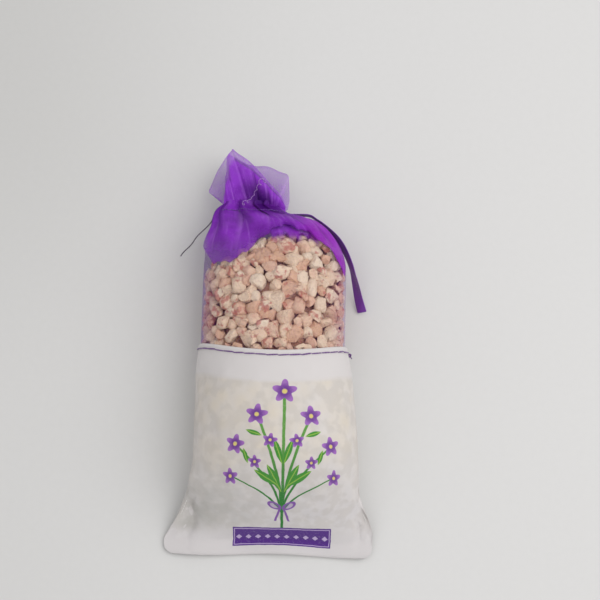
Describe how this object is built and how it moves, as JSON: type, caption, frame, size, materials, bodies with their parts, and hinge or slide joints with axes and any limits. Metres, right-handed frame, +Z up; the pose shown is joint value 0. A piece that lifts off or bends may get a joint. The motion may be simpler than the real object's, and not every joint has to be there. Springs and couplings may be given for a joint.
{
  "type": "lavender sachet",
  "caption": "Filled fabric sachet lying on its back: white cloth pouch, sheer organza window over scented granules, neck drawn in by a ribbon, and a ruffle.",
  "frame": {"origin": "centre of the flat underside of the white pouch, on the table", "axes": "+Y up the bag towards the ruffle, +X across it to the side where the ribbon leaves, +Z up out of the printed front"},
  "size_m": [0.075, 0.1478, 0.037],
  "materials": {
    "white_cloth": "plain weave, printed on the front",
    "organza": "sheer, slight sheen",
    "granules": "dry, rough chunks",
    "satin_ribbon": "satin",
    "purple_thread": "sewing thread",
    "white_thread": "sewing thread",
    "grey_thread": "loose sewing thread"
  },
  "bodies": {
    "bag": {"bottom_seam_thread": "white_thread", "channel_stitch_lower": "purple_thread", "granule_01": "granules", "granule_02": "granules", "granule_03": "granules", "granule_04": "granules", "granule_05": "granules", "granule_06": "granules", "granule_07": "granules", "granule_08": "granules", "granule_09": "granules", "granule_10": "granules", "granule_11": "granules", "granule_12": "granules", "granule_13": "granules", "granule_14": "granules", "granule_15": "granules", "granule_16": "granules", "granule_17": "granules", "granule_18": "granules", "granule_19": "granules", "granule_20": "granules", "granule_21": "granules", "granule_22": "granules", "granule_23": "granules", "granule_24": "granules", "granule_25": "granules", "granule_26": "granules", "granule_27": "granules", "granule_28": "granules", "granule_bed": "granules", "hem_stitch_back": "purple_thread", "hem_stitch_front": "purple_thread", "hem_thread_knot": "purple_thread", "loose_thread_held": "grey_thread", "organza_back": "organza", "organza_front": "organza", "pouch_back": "white_cloth", "pouch_front": "white_cloth", "side_seam_thread_left": "white_thread", "side_seam_thread_right": "white_thread"},
    "ruffle": {"ruffle_front": "organza", "ruffle_back": "organza", "channel_stitch_upper": "purple_thread"},
    "drawstring": {"ribbon_drawstring": "satin_ribbon"},
    "ribbon_end": {"ribbon_tail": "satin_ribbon"},
    "loose_end": {"loose_thread_free": "grey_thread"}
  },
  "joints": [
    {"name": "ruffle_flop", "type": "hinge", "parent": "bag", "child": "ruffle", "pos_m": [-0.0071, 0.0893, 0.014], "axis": [1, 0, 0], "range_deg": [-40, 56], "stiffness_Nm_per_rad": 0.0006},
    {"name": "drawstring_pull", "type": "slide", "parent": "bag", "child": "drawstring", "axis": [1, 0, 0], "range_m": [0, 0.014]},
    {"name": "ribbon_end_swing", "type": "hinge", "parent": "drawstring", "child": "ribbon_end", "pos_m": [0.02618, 0.07135, 0.014], "axis": [0.4451, 0.148, 0.8832], "range_deg": [-10, 90]},
    {"name": "loose_end_swing", "type": "hinge", "parent": "bag", "child": "loose_end", "pos_m": [-0.0242, 0.08225, 0.014], "axis": [0, 0, 1], "range_deg": [-25, 25]}
  ]
}
